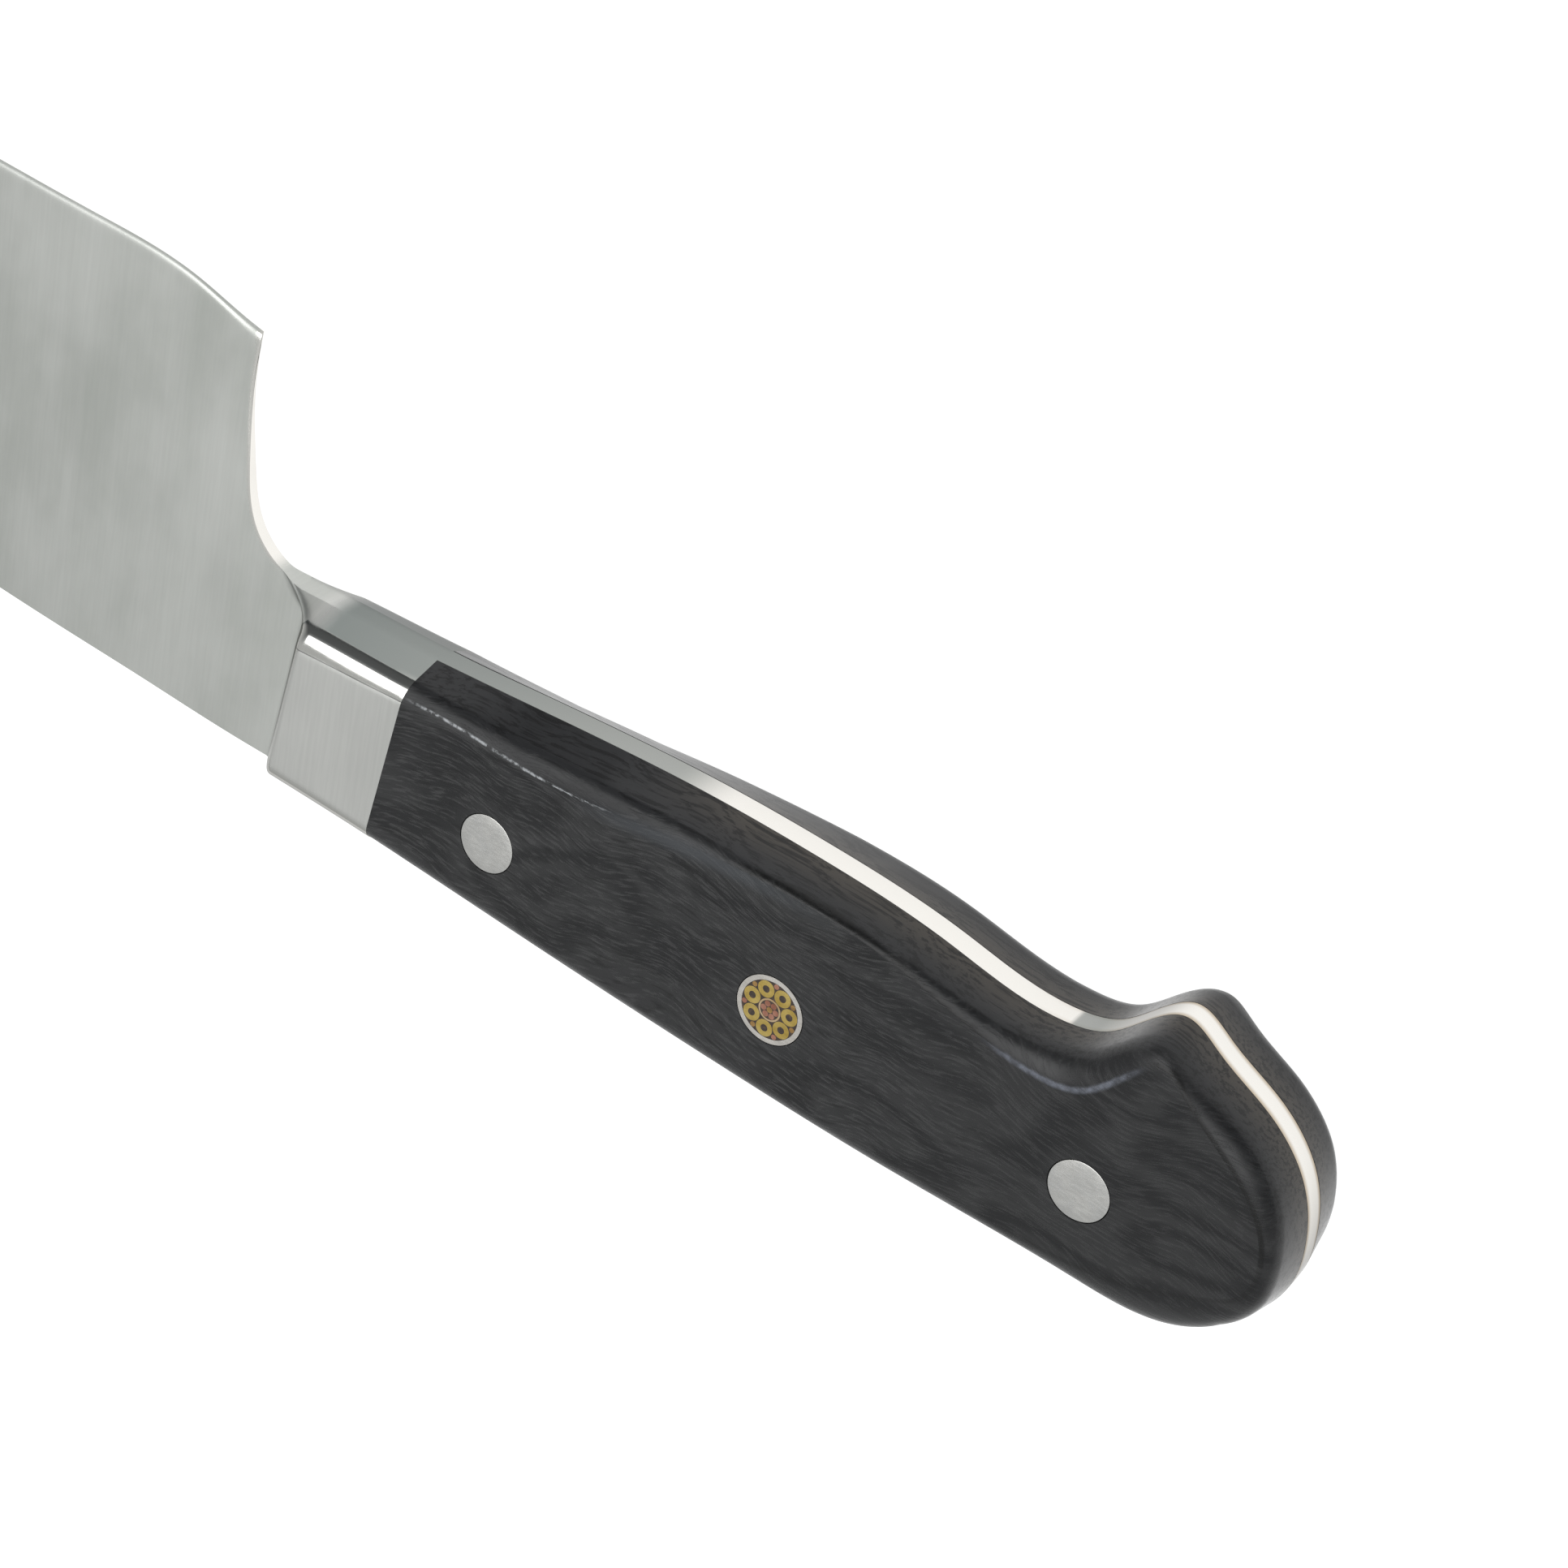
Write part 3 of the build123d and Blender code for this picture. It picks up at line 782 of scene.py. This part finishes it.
def forging_height(x, y, from_border):
    """Half the thickness of the blade and bolster, with the foot rounded and the border eased."""
    belly_y = np.interp(x, *outline_belly())
    swept = np.clip((y - SWEEP_START) / (belly_y - SWEEP_START), 0, 1) ** 1.5
    blade = blade_height(x, y)
    bolster = bolster_height(x, y, belly_y, swept)
    foot_round = FOOT_ROUND * (1 - smoothstep(*FOOT_FADE, x)) * (1 + 0.6 * swept) + 0.02
    foot_round = foot_round * (0.2 + 0.8 * smoothstep(0.0, 2.5, belly_y - y))
    height = np.where(x > -78, smooth_max(blade, bolster, foot_round), blade)
    eased = EASED * np.exp(-from_border / EASED_REACH) * smoothstep(-79.0, -81.5, x) * (y > 17)
    return np.minimum(np.maximum(height - eased, EDGE_HALF), half_width(x))


def outline_belly():
    """The outline's x and y from the foot of the choil to just past the joint."""
    at = np.linspace(OUTLINE_KNOTS[len(CHOIL) - 1], BELLY_JOINT + 3.0, 200)
    line = outline(at)
    return line[:, 0], line[:, 1]


def wall_rings(rim):
    """Rings of points between the rim and its mirror image, swollen a little at the mid-plane."""
    following, previous = np.roll(rim, -1, axis=0), np.roll(rim, 1, axis=0)
    along = following[:, 0:2] - previous[:, 0:2]
    outward = np.column_stack([along[:, 1], -along[:, 0]])
    outward /= np.maximum(np.linalg.norm(outward, axis=1), 1e-9)[:, None]
    outward *= np.sign(np.sum(rim[:, 0] * following[:, 1] - rim[:, 1] * following[:, 0]))
    rings = []
    for level in WALL_LEVELS:
        swell = CROWN * (1 - level ** 2) * np.clip(rim[:, 2] / HALF_TANG, 0, 1)
        rings.append(np.column_stack([rim[:, 0:2] + outward * swell[:, None], rim[:, 2] * level]))
    return rings


def grid_faces(n_columns, n_rows, step):
    """Quads of the upper height field, and of its mirror image step points further on."""
    faces = []
    for c in range(n_columns - 1):
        for r in range(n_rows - 1):
            k = c * n_rows + r
            quad = (k, k + n_rows, k + n_rows + 1, k + 1)
            faces += [quad, tuple(step + i for i in reversed(quad))]
    return faces


def grid_rim(n_columns, n_rows):
    """The points round a height field, in order."""
    loop = [c * n_rows for c in range(n_columns)]
    loop += [(n_columns - 1) * n_rows + r for r in range(1, n_rows)]
    loop += [c * n_rows + n_rows - 1 for c in reversed(range(n_columns - 1))]
    loop += [r for r in reversed(range(1, n_rows - 1))]
    return loop


def forging_mesh():
    """One closed shell: two mirrored height fields, joined by a wall round the whole knife."""
    border, spine = column_ends()
    front = fill_columns(border, spine)
    from_border = np.linalg.norm(front - border[:, None, :], axis=2)
    front_z = forging_height(front[..., 0], front[..., 1], from_border)
    front_z[-1, 0] = front_z[-1, -1] = HALF_TANG
    back = fill_columns(*tang_ends())
    back_z = np.full(back.shape[:2], HALF_TANG)
    plan = np.vstack([front, back])
    height = np.vstack([front_z, back_z])
    top = np.dstack([plan, height]).reshape(-1, 3)
    step = len(top)
    faces = grid_faces(*height.shape, step)
    loop = grid_rim(*height.shape)
    walls = wall_rings(top[loop])
    rings = [loop]
    for k in range(len(walls)):
        start = 2 * step + k * len(loop)
        rings.append(list(range(start, start + len(loop))))
    rings.append([step + k for k in loop])
    for upper, lower in zip(rings[:-1], rings[1:]):
        for i in range(len(loop)):
            j = (i + 1) % len(loop)
            faces.append((upper[i], upper[j], lower[j], lower[i]))
    bottom = top * np.array([1, 1, -1])
    return np.vstack([top, bottom, *walls]), faces


def paint_steel(piece):
    """Attributes for the steel's shader: where it is polished, and how bright the polish is painted, as
    painted reflections and highlights.
    """
    points = own_points(piece)
    x, y, z = points[:, 0], points[:, 1], np.abs(points[:, 2])
    below_top = half_width(x) - z
    behind = x - FOOT_X - LEAN * y
    in_front = x < JOINT_X + 3.0

    on_roll, on_facet = smoothstep(*ROLL_POLISH, behind), smoothstep(*FACET_POLISH, behind)
    near_edges = np.maximum(smoothstep(*BELLY_POLISH, y), 1 - smoothstep(*SPINE_POLISH, y))
    bolster = np.where(below_top < ROLL_DEPTH, on_roll, on_facet) * near_edges
    bolster = bolster * smoothstep(0.03, 0.07, below_top)
    tang = smoothstep(JOINT_X - 2.0, JOINT_X - 1.0, x - LEAN * y) * (z < HALF_TANG + 0.02)
    from_border, _ = nearest_on(outline(np.linspace(0, BELLY_JOINT, 300)), points[:, 0:2])
    choil = np.exp(-(from_border / CHOIL_POLISH_REACH) ** 2)
    choil = choil * (1 - smoothstep(*CHOIL_POLISH_ENDS, x))
    paint(piece, "polish", np.maximum(np.maximum(bolster, tang), choil))

    # Painted reflection: the polished steel is painted darker on the bolster's belly, brighter along the
    # tang, and darker again in the handle's hollow.
    hollow = stretch(x, *HOLLOW) * (y > 0)
    bright = 0.28 * np.clip((x + 66.0) / 50.0, 0, 1) + 0.72 * smoothstep(*TANG_GLEAM, x) - 0.75 * hollow
    # Painted highlight: the bolster's roll is painted brighter.
    roll = (1 - smoothstep(1.6, ROLL_DEPTH, below_top)) * in_front
    bright = np.maximum(bright, 0.55 * roll)
    # Painted highlight: the choil is painted brightest towards the heel.
    bright = np.maximum(bright, 1 - smoothstep(*CHOIL_GLEAM_ENDS, x))
    paint(piece, "bright", bright)

    # A fine dark line of painted shade runs on the bolster's side, just inside the roll.
    from_belly = np.interp(x, *outline_belly()) - y
    inside = from_belly - inset_at(x, BELLY_INSET) + 0.5
    paint(piece, "inside", np.where((behind > 2.0) & in_front, inside, 9.0))
    paint(piece, "side", smoothstep(0.5, 3.0, behind))
    paint(piece, "level", points[:, 2] / HALF_TANG)
    paint(piece, "rear", smoothstep(*TARNISH, x))


def make_forging():
    """The forging as one piece, with the points that coincide at the joint merged."""
    points, faces = forging_mesh()
    piece = new_object("blade_bolster_and_tang", points, faces, STEEL)
    with_bmesh(piece, lambda bm: bmesh.ops.remove_doubles(bm, verts=bm.verts[:], dist=0.000002))
    drill_for_pins(piece)
    paint_steel(piece)
    shade(piece, sharp_angle=32)
    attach(piece, "root")
    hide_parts("blade_forging")


# ---------------------------------------------------------------- pins
def make_rivet(name, node, x):
    """A turned rivet, its ends dressed flush and eased at the rim."""
    angle = np.linspace(0, 2 * pi, PIN_SEGMENTS, endpoint=False)
    ease = RIVET_EASE / RIVET_RADIUS
    profile = [(0.6, 0.0), (1 - ease, 0.0)]
    profile += [(1 - ease * (1 - sin(a)), RIVET_EASE * (1 - cos(a))) for a in np.linspace(pi / 8, pi / 2, 4)]
    rings = []
    for side in (1, -1):
        for share, drop in profile[::side]:
            ring_x = x + RIVET_RADIUS * share * np.cos(angle)
            ring_y = RIVET_RADIUS * share * np.sin(angle)
            rings.append(np.column_stack([ring_x, ring_y, side * (half_width(ring_x) - drop)]))
    points, faces = banded_solid(np.array(rings))
    piece = new_object(name, points, faces, RIVET)
    shade(piece, sharp_angle=60)
    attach(piece, "root")
    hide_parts(node)


def dress_cad_nodes():
    """Materials for the CAD nodes that show: the mosaic pin's parts and the bedding."""
    finishes = [("mosaic_outer_tube", TUBE), ("mosaic_centre_tube", GILT), ("mosaic_resin", RESIN),
                ("bedding_upper", EPOXY), ("bedding_lower", EPOXY), ("mosaic_core_rod_1", BRONZE)]
    finishes += [(f"mosaic_brass_tube_{i}", BRASS) for i in range(1, 8)]
    finishes += [(f"mosaic_gap_rod_{i}", BRONZE if i % 2 else COPPER) for i in range(1, 8)]
    finishes += [(f"mosaic_core_rod_{i}", COPPER) for i in range(2, 8)]
    for node, material in finishes:
        piece = bpy.data.objects[node]
        if not piece.material_slots:
            piece.data.materials.append(material)
        for slot in piece.material_slots:
            slot.material = material


# ---------------------------------------------------------------- camera, floor and light
def add_camera():
    """A camera above the belly side, rolled so that the knife runs down from left to right."""
    aim = Vector(PIN_MIDDLE) + Vector((-4.576, 25.895, 6.974)) * MM
    distance = 0.30965
    azimuth, elevation, roll = radians(146.895), radians(49.447), radians(125.731)
    away = Vector((sin(azimuth) * cos(elevation), -cos(azimuth) * cos(elevation), sin(elevation)))
    camera_data = bpy.data.cameras.new("camera")
    camera_data.lens = 72.356
    camera_data.sensor_width = 36.0
    camera_data.clip_start = 0.01
    camera = bpy.data.objects.new("camera", camera_data)
    right = Vector((0, 0, 1)).cross(away).normalized()
    up = away.cross(right)
    view_up = up * cos(roll) + right * sin(roll)
    turn = Matrix((view_up.cross(away), view_up, away)).transposed().to_4x4()
    camera.matrix_world = Matrix.Translation(aim + away * distance) @ turn
    bpy.context.scene.collection.objects.link(camera)
    bpy.context.scene.camera = camera


def add_floor():
    """A wide white floor that gives off most of its own light, so it shows no shadow."""
    far = 30.0
    corners = [(-far, -far, 0), (far, -far, 0), (far, far, 0), (-far, far, 0)]
    mesh = bpy.data.meshes.new("floor")
    mesh.from_pydata(corners, [], [(0, 1, 2, 3)])
    floor_finish = Shader("floor_white", (0.15, 0.15, 0.15), 0.9)
    floor_finish.set("Emission Color", (1, 1, 1, 1))
    floor_finish.set("Emission Strength", 0.98)
    mesh.materials.append(floor_finish.material)
    floor = bpy.data.objects.new("floor", mesh)
    bpy.context.scene.collection.objects.link(floor)


def add_light(name, place, target, size, power):
    data = bpy.data.lights.new(name, "AREA")
    data.shape = "RECTANGLE"
    data.size, data.size_y = size
    data.energy = power
    light = bpy.data.objects.new(name, data)
    light.location = place
    light.rotation_euler = (Vector(target) - Vector(place)).to_track_quat("-Z", "Y").to_euler()
    bpy.context.scene.collection.objects.link(light)


def add_world():
    """Even pale grey on the spine side; on the belly side, dark low down and bright overhead."""
    world = bpy.data.worlds.new("studio")
    bpy.context.scene.world = world
    world.use_nodes = True
    nodes, links = world.node_tree.nodes, world.node_tree.links
    place = nodes.new("ShaderNodeTexCoord")
    split = nodes.new("ShaderNodeSeparateXYZ")
    ramp = nodes.new("ShaderNodeValToRGB")
    links.new(place.outputs["Generated"], split.inputs["Vector"])
    links.new(split.outputs["Z"], ramp.inputs["Fac"])
    stops = [(0.0, 0.12), (0.5, 0.15), (0.72, 0.5), (0.85, 0.7), (1.0, 0.8)]
    while len(ramp.color_ramp.elements) < len(stops):
        ramp.color_ramp.elements.new(0.5)
    for element, (position, level) in zip(ramp.color_ramp.elements, stops):
        element.position = position
        element.color = (level * 0.96, level, level * 1.03, 1)
    belly_side = nodes.new("ShaderNodeMapRange")
    belly_side.inputs["From Min"].default_value = 0.0
    belly_side.inputs["From Max"].default_value = 0.5
    links.new(split.outputs["Y"], belly_side.inputs["Value"])
    blend = nodes.new("ShaderNodeMix")
    blend.data_type = "RGBA"
    links.new(belly_side.outputs["Result"], blend.inputs[MIX_FACTOR])
    blend.inputs[MIX_A].default_value = (0.68, 0.69, 0.69, 1)
    links.new(ramp.outputs["Color"], blend.inputs[MIX_B])
    links.new(blend.outputs[MIX_RESULT], nodes["Background"].inputs["Color"])
    nodes["Background"].inputs["Strength"].default_value = 1.0


add_camera()
add_floor()
add_world()
add_light("overhead", place=(-0.1, 0.42, 1.4), target=(0.05, 0, 0), size=(1.6, 1.7), power=30)
make_scale("upper_scale_wood", "scale_upper", 1)
make_scale("lower_scale_wood", "scale_lower", -1)
make_forging()
make_rivet("front_rivet_turned", "front_rivet", -RIVET_SPACING)
make_rivet("rear_rivet_turned", "rear_rivet", RIVET_SPACING)
dress_cad_nodes()

bpy.context.scene.view_settings.view_transform = "Standard"
